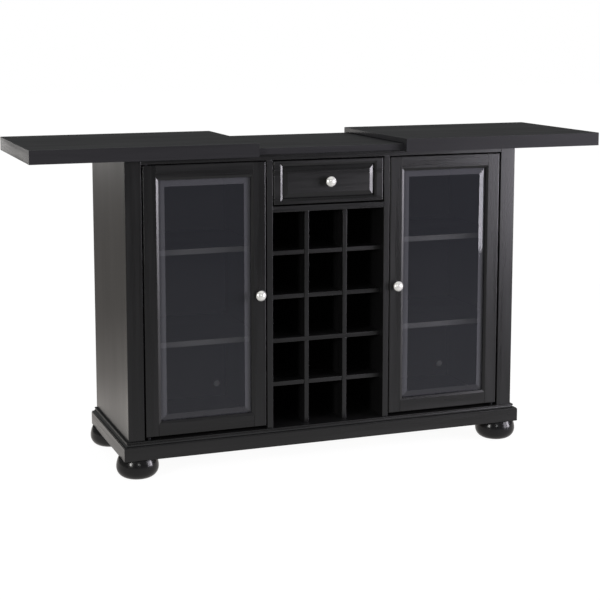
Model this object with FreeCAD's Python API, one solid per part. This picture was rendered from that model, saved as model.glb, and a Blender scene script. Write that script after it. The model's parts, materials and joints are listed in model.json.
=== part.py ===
"""Bar cabinet with two sliding top halves, two glazed doors, a drawer and a wine rack.

Millimetres, +Z up, +X to the right, the front faces -Y. The origin is on the floor, under the middle
of the open cabinet. Both top halves stand pulled out, as they rest here. Each piece that comes apart
on a bench is a solid of its own, and each named file holds one piece or a group of like pieces.
"""

import FreeCAD, Part
import math
import os

os.makedirs("parts", exist_ok=True)

# Heights of the stack, from the floor up
foot_height = 56.5
plinth_height = 37.0
floor_rise = 13.5
body_height = 786.5
board_thickness = 18.5
glide_thickness = 1.2
top_panel_thickness = 14.0
apron_drop = 4.0

# Plan sizes of the body and the two tops
body_width = 1166.0
body_depth = 394.0
top_front_overhang = 38.6
top_back_overhang = 32.4
board_end_overhang = 19.0
top_end_clearance = 2.4
top_side_clearance = 1.1
top_meeting_gap = 0.8
top_travel = 218.0
apron_thickness = 18.0

# Boards of the body
face_thickness = 20.0
side_thickness = 18.0
outer_stile_width = 45.0
top_rail_height = 17.5
partition_thickness = 17.0
middle_bay_width = 334.0
bottom_thickness = 15.0
back_thickness = 5.0
drawer_shelf_thickness = 16.5
drawer_opening_height = 129.0

# Plinth, its blocks and the moulding on top of it
plinth_overhang = 16.0
plinth_rail_thickness = 24.0
corner_block_length = 100.0
cross_rail_width = 40.0
moulding_setback = 1.5
moulding_nose_height = 2.5
moulding_nose_radius = 1.0
moulding_step = 1.5
moulding_cove_radius = 7.0
moulding_bead_radius = 2.0

# Bun feet and their bolts
foot_diameter = 117.0
foot_belly_height = 30.0
foot_shoulder_radius = 58.0
foot_side_inset = 32.0
foot_end_inset = 34.0
foot_bolt_radius = 4.0
foot_bolt_depth = 36.0
foot_bolt_rise = 28.0
bolt_clearance = 0.1

# Wine rack
rack_columns = 3
rack_rows_above = 3
rack_rows_below = 2
rack_upright_thickness = 13.0
rack_shelf_thickness = 12.5
rack_setback = 24.0
rack_shelf_setback = 1.5
rack_slot_clearance = 0.4
rack_lap_share = 0.5

# Shelves behind the doors, their pins, and the wire holes in the back
shelf_count = 2
shelf_thickness = 16.0
shelf_setback = 50.0
shelf_side_clearance = 1.0
shelf_back_clearance = 2.0
shelf_edge_radius = 1.0
pin_radius = 2.5
pin_depth = 8.0
pin_clearance = 0.1
pin_inset = 40.0
pin_tongue_length = 9.0
pin_tongue_width = 10.0
pin_tongue_thickness = 2.0
wire_hole_radius = 8.0
wire_hole_side = 29.0
wire_hole_rise = 39.0

# Doors
door_hinge_gap = 4.5
door_latch_gap = 3.0
door_top_gap = 2.5
door_bottom_gap = 7.5
door_stile_width = 43.0
door_rail_width = 41.5
door_edge_radius = 3.0
door_sticking_width = 7.0
door_sticking_depth = 3.0
joint_groove = 0.7
glass_ledge = 9.0
glass_thickness = 4.0
glass_rebate = 8.0
glass_bevel_width = 25.5
glass_bevel_depth = 2.0
glass_fit = 0.5
glass_touch = 0.1

# Door pivots, catches and strike plates
pivot_radius = 3.0
pivot_clearance = 0.1
pivot_pin_length = 10.0
pivot_bore_spare = 2.0
pivot_collar_radius = 5.0
pivot_plate_length = 32.0
pivot_plate_width = 12.0
pivot_plate_thickness = 2.0
pivot_plate_inset = 2.0
catch_length = 40.0
catch_depth = 15.0
catch_height = 12.0
catch_inset = 2.0
strike_length = 30.0
strike_height = 10.0
strike_thickness = 1.5
strike_drop = 1.0

# Knobs and their screws
knob_diameter = 29.0
knob_dome_height = 8.0
knob_neck_length = 2.0
knob_neck_radius = 5.0
knob_base_radius = 8.0
knob_base_height = 2.5
knob_side_inset = 20.0
knob_height_on_door = 375.0
screw_radius = 2.0
screw_clearance = 0.1
screw_grip = 9.0
screw_head_radius = 4.5
screw_head_height = 2.5

# Drawer and its runners
drawer_side_gap = 3.0
drawer_top_gap = 3.0
drawer_bottom_gap = 4.0
drawer_stile_width = 26.0
drawer_rail_width = 15.5
drawer_edge_radius = 2.5
drawer_sticking_width = 6.0
drawer_sticking_depth = 2.5
drawer_panel_ledge = 6.5
drawer_panel_relief = 1.0
drawer_panel_rebate = 6.0
drawer_panel_bevel = 15.0
drawer_back_clearance = 39.0
drawer_side_height = 90.0
drawer_side_thickness = 12.0
drawer_side_rise = 7.5
drawer_bottom_rise = 7.0
drawer_bottom_thickness = 5.0
runner_space = 13.0
runner_height = 35.0
runner_end_inset = 28.0
runner_start = 2.0
runner_wall = 1.2
runner_tip_gap = 0.8

# Sliding tops: easing, glides, retaining strips and stops
top_edge_radius = 1.5
glide_width = 20.0
glide_inset = 60.0
glide_end_inset = 10.0
retainer_thickness = 2.0
retainer_grip = 13.5
retainer_body_clearance = 2.1
stop_length = 20.0
stop_height = 4.5
stop_side_clearance = 1.5
stop_end_clearance = 2.0

# Clearance shared by all pieces that run on each other, the overrun of every cut, and the
# distance below which two places count as one
running_gap = 0.3
overrun = 2.0
same_place = 0.001

# Levels worked out from the stack
plinth_top = foot_height + plinth_height
floor_level = plinth_top + floor_rise
body_top = plinth_top + body_height
ceiling_level = body_top - top_rail_height
board_top = body_top + board_thickness
panel_bottom = board_top + running_gap + glide_thickness
panel_top = panel_bottom + top_panel_thickness
apron_bottom = body_top - apron_drop
drawer_shelf_top = ceiling_level - drawer_opening_height
rack_top = drawer_shelf_top - drawer_shelf_thickness
bottom_underside = floor_level - bottom_thickness

# Plan lines worked out from the body
body_side = body_width / 2
top_depth = body_depth + top_front_overhang + top_back_overhang
top_front = -top_depth / 2
top_back = top_depth / 2
body_front = top_front + top_front_overhang
body_back = body_front + body_depth
face_back = body_front + face_thickness
back_inner = body_back - back_thickness
side_inner = body_side - side_thickness
bay_side = middle_bay_width / 2
partition_outer = bay_side + partition_thickness
stile_inner = body_side - outer_stile_width
plinth_side = body_side + plinth_overhang
plinth_front = body_front - plinth_overhang
plinth_inner = plinth_side - plinth_rail_thickness

# The fixed board, and the right-hand top in its open place
board_end = body_side + board_end_overhang
board_front = top_front + apron_thickness + top_side_clearance
board_back = top_back - apron_thickness - top_side_clearance
top_length = board_end + top_end_clearance + apron_thickness - top_meeting_gap / 2
top_inner_end = top_meeting_gap / 2 + top_travel
top_outer_end = top_inner_end + top_length
stop_outer = board_end - stop_end_clearance
stop_inner = stop_outer - stop_length

# The right-hand door and the drawer front in their closed places
door_latch_edge = partition_outer + door_latch_gap
door_hinge_edge = stile_inner - door_hinge_gap
door_bottom = floor_level + door_bottom_gap
door_top = ceiling_level - door_top_gap
pivot_x = door_hinge_edge - face_thickness / 2
pivot_y = body_front + face_thickness / 2
drawer_edge = bay_side - drawer_side_gap
drawer_front_bottom = drawer_shelf_top + drawer_bottom_gap
drawer_front_top = ceiling_level - drawer_top_gap


def point(x, y, z):
    """A place in the cabinet's frame."""
    return FreeCAD.Vector(x, y, z)


def board(x0, x1, y0, y1, z0, z1):
    """A plain rectangular board between two opposite corners."""
    return Part.makeBox(x1 - x0, y1 - y0, z1 - z0, point(x0, y0, z0))


def plan_prism(corners, z0, z1):
    """A prism that stands on a polygon of (x, y) corners."""
    wire = Part.makePolygon([point(x, y, z0) for x, y in corners + corners[:1]])
    return Part.Face(wire).extrude(point(0, 0, z1 - z0))


def front_prism(corners, y0, y1):
    """A prism that runs back from a polygon of (x, z) corners."""
    wire = Part.makePolygon([point(x, y0, z) for x, z in corners + corners[:1]])
    return Part.Face(wire).extrude(point(0, y1 - y0, 0))


def tapered_block(back_rectangle, back_y, front_rectangle, front_y):
    """A block that tapers from one rectangle (x0, x1, z0, z1) to another in front of it."""
    wires = []
    for (x0, x1, z0, z1), y in ((back_rectangle, back_y), (front_rectangle, front_y)):
        corners = [(x0, z0), (x1, z0), (x1, z1), (x0, z1), (x0, z0)]
        wires.append(Part.makePolygon([point(x, y, z) for x, z in corners]))
    return Part.makeLoft(wires, True, True)


def rectangle_board(rectangle, y0, y1):
    """A board whose front is the rectangle (x0, x1, z0, z1)."""
    x0, x1, z0, z1 = rectangle
    return board(x0, x1, y0, y1, z0, z1)


def drawn_in(rectangle, margin):
    """The rectangle (x0, x1, z0, z1) with all its sides drawn in by a margin."""
    x0, x1, z0, z1 = rectangle
    return (x0 + margin, x1 - margin, z0 + margin, z1 - margin)


def rod(radius, start, direction, length):
    """A round rod from a start point along a unit direction."""
    return Part.makeCylinder(radius, length, start, direction)


def mirrored(shape):
    """The same piece on the cabinet's other side."""
    return shape.mirror(point(0, 0, 0), point(1, 0, 0))


def both_sides(shape):
    """A piece and its twin on the other side."""
    return [mirrored(shape), shape]


def eased(shape, axis, level, radius):
    """The shape with the edges that lie in one plane rounded over."""
    edges = []
    for edge in shape.Edges:
        if all(abs(getattr(vertex.Point, axis) - level) < same_place for vertex in edge.Vertexes):
            edges.append(edge)
    return shape.makeFillet(radius, edges)


def line(start, end):
    """A straight edge of a profile, between two (u, v) points of the profile's plane."""
    return Part.LineSegment(point(*start, 0), point(*end, 0)).toShape()


def arc(centre, radius, start_degrees, end_degrees):
    """A round edge of a profile, anticlockwise about a (u, v) centre."""
    circle = Part.Circle(point(*centre, 0), point(0, 0, 1), radius)
    return Part.ArcOfCircle(circle, math.radians(start_degrees), math.radians(end_degrees)).toShape()


def turned(edges):
    """A solid turned about the V axis from a closed profile of edges."""
    return Part.Face(Part.Wire(edges)).revolve(point(0, 0, 0), point(0, 1, 0), 360)


def save(name, *shapes):
    """Write one piece, or a group of like pieces, to its own file."""
    solids = [solid for shape in shapes for solid in shape.Solids]
    whole = solids[0] if len(solids) == 1 else Part.makeCompound(solids)
    whole.exportStep(os.path.join("parts", name + ".step"))


def foot_centres():
    """Name and plan centre of each of the four feet."""
    x = body_side - foot_side_inset
    front = body_front + foot_end_inset
    rear = body_back - foot_end_inset
    return {
        "foot_front_left": (-x, front),
        "foot_front_right": (x, front),
        "foot_rear_left": (-x, rear),
        "foot_rear_right": (x, rear),
    }


def foot_bolt_bore(x, y):
    """The bore for one foot's bolt, through the foot and the corner block above it."""
    start = point(x, y, foot_height - foot_bolt_depth)
    length = foot_bolt_depth + foot_bolt_rise + overrun
    return rod(foot_bolt_radius + bolt_clearance, start, point(0, 0, 1), length)


def bun_foot():
    """A turned bun foot that stands on the Z axis."""
    belly_radius = foot_diameter / 2
    base_radius = belly_radius - foot_belly_height
    shoulder_rise = foot_height - foot_belly_height
    shoulder_centre = belly_radius - foot_shoulder_radius
    shoulder_angle = math.degrees(math.asin(shoulder_rise / foot_shoulder_radius))
    crown_radius = shoulder_centre + math.sqrt(foot_shoulder_radius ** 2 - shoulder_rise ** 2)
    foot = turned([
        line((0, 0), (base_radius, 0)),
        arc((base_radius, foot_belly_height), foot_belly_height, -90, 0),
        arc((shoulder_centre, foot_belly_height), foot_shoulder_radius, 0, shoulder_angle),
        line((crown_radius, foot_height), (0, foot_height)),
        line((0, foot_height), (0, 0)),
    ])
    foot.rotate(point(0, 0, 0), point(1, 0, 0), 90)
    return foot


def make_feet():
    """Four bun feet and the bolts that hold them to the corner blocks."""
    bolts = []
    for name, (x, y) in foot_centres().items():
        foot = bun_foot()
        foot.translate(point(x, y, 0))
        save(name, foot.cut(foot_bolt_bore(x, y)))
        start = point(x, y, foot_height - foot_bolt_depth)
        bolts.append(rod(foot_bolt_radius, start, point(0, 0, 1), foot_bolt_depth + foot_bolt_rise))
    save("foot_bolts", *bolts)


def front_run(inner_side, inner_front):
    """Plan of the mitred front run of a trim, from an inner line out to the plinth's face."""
    return [(-plinth_side, plinth_front), (plinth_side, plinth_front), (inner_side, inner_front),
            (-inner_side, inner_front)]


def side_run(inner_side, inner_front):
    """Plan of the mitred right-hand run of a trim."""
    return [(plinth_side, plinth_front), (plinth_side, body_back), (inner_side, body_back),
            (inner_side, inner_front)]


def make_plinth():
    """Mitred plinth rails, and the blocks and cross rails that carry the bottom."""
    inner_front = plinth_front + plinth_rail_thickness
    inner_back = body_back - plinth_rail_thickness
    save("plinth_front", plan_prism(front_run(plinth_inner, inner_front), foot_height, plinth_top))
    side = plan_prism(side_run(plinth_inner, inner_front), foot_height, plinth_top)
    save("plinth_left", mirrored(side))
    save("plinth_right", side)
    save("plinth_back", board(-plinth_inner, plinth_inner, inner_back, body_back, foot_height,
                              bottom_underside))
    block_side = plinth_inner - corner_block_length
    blocks = []
    for y0, y1 in ((inner_front, inner_front + corner_block_length),
                   (inner_back - corner_block_length, inner_back)):
        blocks += both_sides(board(block_side, plinth_inner, y0, y1, foot_height, bottom_underside))
    bores = [foot_bolt_bore(x, y) for x, y in foot_centres().values()]
    blocks = [block.cut(bores) for block in blocks]
    middle = (bay_side + partition_outer) / 2
    cross_rail = board(middle - cross_rail_width / 2, middle + cross_rail_width / 2, inner_front,
                       inner_back, foot_height, bottom_underside)
    save("plinth_blocks", *blocks, *both_sides(cross_rail))


def moulding_profile():
    """Section of the base moulding: nose, step, cove and bead, as (u out from the body, v up)."""
    width = plinth_overhang - moulding_setback
    nose_in = width - moulding_nose_radius
    step_in = nose_in - moulding_step
    quirk_in = step_in - moulding_cove_radius
    cove_top = moulding_nose_height + moulding_cove_radius
    bead_centre = cove_top + moulding_bead_radius
    height = bead_centre + moulding_bead_radius
    edges = [
        line((0, 0), (width, 0)),
        line((width, 0), (width, moulding_nose_height - moulding_nose_radius)),
        arc((nose_in, moulding_nose_height - moulding_nose_radius), moulding_nose_radius, 0, 90),
        line((nose_in, moulding_nose_height), (step_in, moulding_nose_height)),
        arc((step_in, cove_top), moulding_cove_radius, 180, 270),
        arc((quirk_in, bead_centre), moulding_bead_radius, -90, 90),
        line((quirk_in, height), (0, height)),
        line((0, height), (0, 0)),
    ]
    return Part.Face(Part.Wire(edges)), height


def make_moulding():
    """Base moulding along the front and both sides, mitred at the front corners."""
    profile, height = moulding_profile()
    profile.rotate(point(0, 0, 0), point(1, 0, 0), 90)
    side = profile.copy()
    side.translate(point(body_side, plinth_front, plinth_top))
    side = side.extrude(point(0, body_back - plinth_front, 0))
    side = side.common(plan_prism(side_run(body_side, body_front), plinth_top, plinth_top + height))
    save("base_moulding_sides", *both_sides(side))
    front = profile.copy()
    front.rotate(point(0, 0, 0), point(0, 0, 1), -90)
    front.translate(point(-plinth_side, body_front, plinth_top))
    front = front.extrude(point(2 * plinth_side, 0, 0))
    front = front.common(plan_prism(front_run(body_side, body_front), plinth_top, plinth_top + height))
    save("base_moulding_front", front)


def shelf_levels():
    """Underside of each shelf behind the doors, with equal spaces between them."""
    space = (ceiling_level - floor_level - shelf_count * shelf_thickness) / (shelf_count + 1)
    return [floor_level + (index + 1) * space + index * shelf_thickness for index in range(shelf_count)]


def pin_places():
    """Wall, direction into the wall, depth place and level of each pin in the right-hand bay."""
    front = body_front + shelf_setback + pin_inset
    rear = back_inner - shelf_back_clearance - pin_inset
    places = []
    for level in shelf_levels():
        for y in (front, rear):
            places.append((partition_outer, -1, y, level))
            places.append((side_inner, 1, y, level))
    return places


def pin_holes(wall):
    """The holes for the pins in one wall of the right-hand bay."""
    holes = []
    for wall_x, into, y, level in pin_places():
        if wall_x == wall:
            start = point(wall_x - into * overrun, y, level - pin_tongue_thickness / 2)
            length = overrun + pin_depth + pin_clearance
            holes.append(rod(pin_radius + pin_clearance, start, point(into, 0, 0), length))
    return holes


def shelf_pin(wall_x, into, y, level):
    """A shelf pin: a peg in the wall and a flat tongue under the shelf."""
    z0 = level - pin_tongue_thickness
    tip = wall_x - into * pin_tongue_length
    tongue = board(min(wall_x, tip), max(wall_x, tip), y - pin_tongue_width / 2, y + pin_tongue_width / 2,
                   z0, level)
    peg = rod(pin_radius, point(wall_x, y, (z0 + level) / 2), point(into, 0, 0), pin_depth)
    return tongue.fuse(peg)


def pivot_plate(z0, z1):
    """A flat pivot plate between two levels, or the cut that lets it in."""
    end = door_hinge_edge - pivot_plate_inset
    half = pivot_plate_width / 2
    return board(end - pivot_plate_length, end, pivot_y - half, pivot_y + half, z0, z1)


def make_face_frame():
    """Outer stiles, top and bottom rail, and the pivot brackets let in to the rails."""
    stile = board(stile_inner, body_side, body_front, face_back, plinth_top, body_top)
    save("face_stile_left", mirrored(stile))
    save("face_stile_right", stile)
    top_rail = board(-stile_inner, stile_inner, body_front, face_back, ceiling_level, body_top)
    bottom_rail = board(-stile_inner, stile_inner, body_front, face_back, plinth_top, floor_level)
    upper_seat = pivot_plate(ceiling_level - overrun, ceiling_level + pivot_plate_thickness)
    lower_seat = pivot_plate(floor_level - pivot_plate_thickness, floor_level + overrun)
    save("face_rails", top_rail.cut(both_sides(upper_seat)), bottom_rail.cut(both_sides(lower_seat)))

    lower = pivot_plate(floor_level - pivot_plate_thickness, floor_level)
    upper = pivot_plate(ceiling_level, ceiling_level + pivot_plate_thickness)
    up = point(0, 0, 1)
    lower_collar = rod(pivot_collar_radius, point(pivot_x, pivot_y, floor_level), up, door_bottom_gap)
    lower_pin = rod(pivot_radius, point(pivot_x, pivot_y, floor_level), up,
                    door_bottom_gap + pivot_pin_length)
    collar_height = door_top_gap - running_gap
    upper_start = point(pivot_x, pivot_y, ceiling_level - collar_height)
    upper_collar = rod(pivot_collar_radius, upper_start, up, collar_height)
    pin_start = point(pivot_x, pivot_y, door_top - pivot_pin_length)
    upper_pin = rod(pivot_radius, pin_start, up, pivot_pin_length + door_top_gap)
    brackets = [lower.fuse([lower_collar, lower_pin]), upper.fuse([upper_collar, upper_pin])]
    save("pivot_brackets", *[piece for bracket in brackets for piece in both_sides(bracket)])


def make_carcass():
    """Sides, partitions, bottom, top, drawer shelf and back of the body."""
    side = board(side_inner, body_side, face_back, body_back, plinth_top, body_top)
    side = side.cut(pin_holes(side_inner))
    save("side_panel_left", mirrored(side))
    save("side_panel_right", side)
    partition = board(bay_side, partition_outer, body_front, back_inner, floor_level, ceiling_level)
    partition = partition.cut(pin_holes(partition_outer))
    save("partition_left", mirrored(partition))
    save("partition_right", partition)
    save("bottom_panel", board(-side_inner, side_inner, face_back, back_inner, bottom_underside, floor_level))
    save("carcass_top", board(-side_inner, side_inner, face_back, back_inner, ceiling_level, body_top))
    save("drawer_shelf", board(-bay_side, bay_side, body_front, back_inner, rack_top, drawer_shelf_top))
    back = board(-side_inner, side_inner, back_inner, body_back, bottom_underside, body_top)
    wire_holes = []
    for wall in (-partition_outer, side_inner):
        start = point(wall - wire_hole_side, back_inner - overrun, floor_level + wire_hole_rise)
        wire_holes.append(rod(wire_hole_radius, start, point(0, 1, 0), back_thickness + 2 * overrun))
    save("back_panel", back.cut(wire_holes))


def make_shelves():
    """Two loose shelves behind each door, on four pins each."""
    shelves = []
    for level in shelf_levels():
        shelf = board(partition_outer + shelf_side_clearance, side_inner - shelf_side_clearance,
                      body_front + shelf_setback, back_inner - shelf_back_clearance, level,
                      level + shelf_thickness)
        shelves.append(eased(shelf, "y", body_front + shelf_setback, shelf_edge_radius))
    save("left_shelves", *[mirrored(shelf) for shelf in shelves])
    save("right_shelves", *shelves)
    pins = [shelf_pin(*place) for place in pin_places()]
    save("shelf_pins", *pins, *[mirrored(pin) for pin in pins])


def make_rack():
    """Wine rack of uprights and shelves halved over each other, on one middle shelf."""
    rows = rack_rows_above + rack_rows_below
    cell_height = (rack_top - floor_level - (rows - 1) * rack_shelf_thickness) / rows
    cell_width = (middle_bay_width - (rack_columns - 1) * rack_upright_thickness) / rack_columns
    levels = [floor_level + (row + 1) * cell_height + row * rack_shelf_thickness for row in range(rows - 1)]
    middle = levels[rack_rows_below - 1]
    sides = [-bay_side + (column + 1) * cell_width + column * rack_upright_thickness
             for column in range(rack_columns - 1)]
    front = body_front + rack_setback
    lap = front + (back_inner - front) * rack_lap_share
    spare = rack_slot_clearance / 2

    shelves = []
    for level in levels:
        if level == middle:
            continue
        shelf = board(-bay_side, bay_side, front + rack_shelf_setback, back_inner, level,
                      level + rack_shelf_thickness)
        slots = [board(x - spare, x + rack_upright_thickness + spare, front, lap, level - overrun,
                       level + rack_shelf_thickness + overrun) for x in sides]
        shelves.append(shelf.cut(slots))
    save("rack_shelves", *shelves)
    save("rack_middle_shelf", board(-bay_side, bay_side, front, back_inner, middle,
                                    middle + rack_shelf_thickness))

    slots = [board(-bay_side, bay_side, lap, back_inner + overrun, level - spare,
                   level + rack_shelf_thickness + spare) for level in levels if level != middle]
    uprights = []
    for z0, z1 in ((floor_level, middle), (middle + rack_shelf_thickness, rack_top)):
        for x in sides:
            upright = board(x, x + rack_upright_thickness, front, back_inner, z0, z1)
            uprights.append(upright.cut(slots))
    save("rack_uprights", *uprights)


def framed_front(outer, opening, sticking_width, sticking_depth, ledge, rebate, edge_radius):
    """Two stiles and two rails round an opening.

    The outer front edges are rounded, the inner ones chamfered, and a rebate behind takes the panel.
    A fine groove marks where each rail butts against its stile. Returns stiles, then rails.
    """
    x0, x1, z0, z1 = outer
    blank = eased(rectangle_board(outer, body_front, face_back), "y", body_front, edge_radius)
    mouth = drawn_in(opening, -sticking_width)
    cuts = [
        rectangle_board(opening, body_front - overrun, face_back + overrun),
        tapered_block(opening, body_front + sticking_depth, mouth, body_front),
        rectangle_board(drawn_in(opening, -rebate), body_front + ledge, face_back + overrun),
    ]
    for x in mouth[:2]:
        groove = [(x - joint_groove, body_front), (x + joint_groove, body_front),
                  (x, body_front + joint_groove)]
        cuts.append(plan_prism(groove, z0 - overrun, mouth[2]))
        cuts.append(plan_prism(groove, mouth[3], z1 + overrun))
    ring = blank.cut(cuts)
    keeps = []
    for edge, butt, inner in ((x0 - overrun, mouth[0], opening[0]), (x1 + overrun, mouth[1], opening[1])):
        corners = [(edge, z0 - overrun), (butt, z0 - overrun), (butt, mouth[2]), (inner, opening[2]),
                   (inner, opening[3]), (butt, mouth[3]), (butt, z1 + overrun), (edge, z1 + overrun)]
        keeps.append(front_prism(corners, body_front - overrun, face_back + overrun))
    stiles = [ring.common(keep) for keep in keeps]
    return stiles, ring.cut(keeps)


def knob_with_screw(x, surface, z):
    """A turned knob on a front surface, with its screw from behind, and the screw's clearance hole."""
    radius = knob_diameter / 2
    swell = radius - knob_neck_radius
    cove = knob_base_radius - knob_neck_radius
    neck_start = knob_base_height + cove
    neck_end = neck_start + knob_neck_length
    rim = neck_end + swell
    top = rim + knob_dome_height
    dome_radius = (radius ** 2 + knob_dome_height ** 2) / (2 * knob_dome_height)
    rim_angle = math.degrees(math.asin((dome_radius - knob_dome_height) / dome_radius))
    knob = turned([
        line((0, 0), (knob_base_radius, 0)),
        line((knob_base_radius, 0), (knob_base_radius, knob_base_height)),
        arc((knob_base_radius, neck_start), cove, 180, 270),
        line((knob_neck_radius, neck_start), (knob_neck_radius, neck_end)),
        arc((knob_neck_radius, rim), swell, -90, 0),
        arc((0, top - dome_radius), dome_radius, rim_angle, 90),
        line((0, top), (0, 0)),
    ])
    knob.rotate(point(0, 0, 0), point(1, 0, 0), 180)
    knob.translate(point(x, surface, z))
    forward = point(0, -1, 0)
    length = face_back - surface + screw_grip
    hole = rod(screw_radius + screw_clearance, point(x, face_back, z), forward, length + screw_clearance)
    shank = rod(screw_radius, point(x, face_back, z), forward, length)
    head = rod(screw_head_radius, point(x, face_back + screw_head_height, z), forward, screw_head_height)
    return [knob.cut(hole), shank.fuse(head)], hole


def right_door():
    """All pieces of the right-hand door by name, in its closed place."""
    outer = (door_latch_edge, door_hinge_edge, door_bottom, door_top)
    opening = (door_latch_edge + door_stile_width, door_hinge_edge - door_stile_width,
               door_bottom + door_rail_width, door_top - door_rail_width)
    stiles, rails = framed_front(outer, opening, door_sticking_width, door_sticking_depth, glass_ledge,
                                 glass_rebate, door_edge_radius)
    knob, screw_hole = knob_with_screw(door_latch_edge + knob_side_inset, body_front,
                                       door_bottom + knob_height_on_door)
    up = point(0, 0, 1)
    bore_length = pivot_pin_length + pivot_bore_spare
    bores = [
        rod(pivot_radius + pivot_clearance, point(pivot_x, pivot_y, door_bottom - overrun), up,
            bore_length + overrun),
        rod(pivot_radius + pivot_clearance, point(pivot_x, pivot_y, door_top - bore_length), up,
            bore_length + overrun),
    ]
    seats = [pivot_plate(door_bottom - overrun, door_bottom + pivot_plate_thickness),
             pivot_plate(door_top - pivot_plate_thickness, door_top + overrun)]
    plates = [pivot_plate(door_bottom, door_bottom + pivot_plate_thickness).cut(bores),
              pivot_plate(door_top - pivot_plate_thickness, door_top).cut(bores)]

    pane = drawn_in(opening, glass_fit - glass_rebate)
    bevel_left = 1 - (glass_rebate - glass_fit) / glass_bevel_width
    pane_front = body_front + glass_ledge + glass_touch - glass_bevel_depth * bevel_left
    pane_back = pane_front + glass_thickness
    bevel_back = pane_front + glass_bevel_depth
    bevel = tapered_block(pane, bevel_back, drawn_in(pane, glass_bevel_width), pane_front)
    glass = rectangle_board(pane, bevel_back, pane_back).fuse(bevel)

    x0, x1, z0, z1 = opening
    beads = []
    for side in ((x0 - glass_rebate, x0), (x1, x1 + glass_rebate)):
        beads.append(board(*side, pane_back, face_back, z0 - glass_rebate, z1 + glass_rebate))
    for end in ((z0 - glass_rebate, z0), (z1, z1 + glass_rebate)):
        beads.append(board(x0, x1, pane_back, face_back, *end))

    strike_x = door_latch_edge + catch_inset + catch_length / 2 - strike_length / 2
    strike_top = door_top - strike_drop
    strike = board(strike_x, strike_x + strike_length, face_back, face_back + strike_thickness,
                   strike_top - strike_height, strike_top)
    return {
        "door_stiles": [stiles[0].cut(screw_hole), stiles[1].cut(bores + seats)],
        "door_rails": [rails],
        "door_glass": [glass],
        "door_beads": beads,
        "door_knob": knob,
        "door_pivots": plates + [strike],
    }


def make_doors():
    """Both doors, and the magnetic catches under the carcass top."""
    for name, shapes in right_door().items():
        save("right_" + name, *shapes)
        save("left_" + name, *[mirrored(shape) for shape in shapes])
    catch_x = door_latch_edge + catch_inset
    catch_front = face_back + strike_thickness + running_gap
    catch = board(catch_x, catch_x + catch_length, catch_front, catch_front + catch_depth,
                  ceiling_level - catch_height, ceiling_level)
    save("magnetic_catches", *both_sides(catch))


def make_drawer():
    """Drawer front with a raised panel, its box, and the knob."""
    outer = (-drawer_edge, drawer_edge, drawer_front_bottom, drawer_front_top)
    opening = (-drawer_edge + drawer_stile_width, drawer_edge - drawer_stile_width,
               drawer_front_bottom + drawer_rail_width, drawer_front_top - drawer_rail_width)
    stiles, rails = framed_front(outer, opening, drawer_sticking_width, drawer_sticking_depth,
                                 drawer_panel_ledge, drawer_panel_rebate, drawer_edge_radius)
    save("drawer_front_frame", *stiles, rails)
    panel_ledge = body_front + drawer_panel_ledge
    panel_face = body_front + drawer_panel_relief
    knob, screw_hole = knob_with_screw(0, panel_face, (drawer_front_bottom + drawer_front_top) / 2)
    base = rectangle_board(drawn_in(opening, -drawer_panel_rebate), panel_ledge, face_back)
    field = tapered_block(opening, panel_ledge, drawn_in(opening, drawer_panel_bevel), panel_face)
    save("drawer_front_panel", base.fuse(field).cut(screw_hole))
    save("drawer_knob", *knob)

    box_side = bay_side - runner_space
    box_inner = box_side - drawer_side_thickness
    box_bottom = drawer_front_bottom + drawer_side_rise
    box_top = box_bottom + drawer_side_height
    box_back = back_inner - drawer_back_clearance
    back_front = box_back - drawer_side_thickness
    side = board(box_inner, box_side, face_back, box_back, box_bottom, box_top)
    back = board(-box_inner, box_inner, back_front, box_back, box_bottom, box_top)
    save("drawer_box", *both_sides(side), back)
    floor = box_bottom + drawer_bottom_rise
    save("drawer_bottom", board(-box_inner, box_inner, face_back, back_front, floor,
                                floor + drawer_bottom_thickness))
    make_runners(box_side, box_back, (box_bottom + box_top) / 2)


def make_runners(box_side, box_back, middle):
    """Nested steel channels on the partitions and on the drawer's sides."""
    start = face_back + runner_start
    end = box_back - runner_end_inset
    half = runner_height / 2
    web = bay_side - runner_wall
    drawer_web = box_side + runner_wall
    tip = drawer_web + runner_tip_gap
    outer = board(tip, bay_side, start, end + runner_wall, middle - half, middle + half)
    hollow = board(tip - overrun, web, start - overrun, end, middle - half + runner_wall,
                   middle + half - runner_wall)
    save("runner_channels", *both_sides(outer.cut(hollow)))
    inner_half = half - runner_wall - running_gap
    inner = board(box_side, web - runner_tip_gap, start, end - running_gap, middle - inner_half,
                  middle + inner_half)
    inner_hollow = board(drawer_web, web + overrun, start - overrun, end + overrun,
                         middle - inner_half + runner_wall, middle + inner_half - runner_wall)
    save("drawer_runners", *both_sides(inner.cut(inner_hollow)))


def make_fixed_board():
    """The fixed board on the body, and the stop blocks under its corners."""
    fixed = board(-board_end, board_end, board_front, board_back, body_top, board_top)
    save("fixed_top_board", eased(fixed, "z", board_top, top_edge_radius))
    stops = []
    for y0, y1 in ((board_front + stop_side_clearance, body_front - retainer_body_clearance),
                   (body_back + retainer_body_clearance, board_back - stop_side_clearance)):
        stops += both_sides(board(stop_inner, stop_outer, y0, y1, body_top - stop_height, body_top))
    save("slide_stops", *stops)


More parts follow.
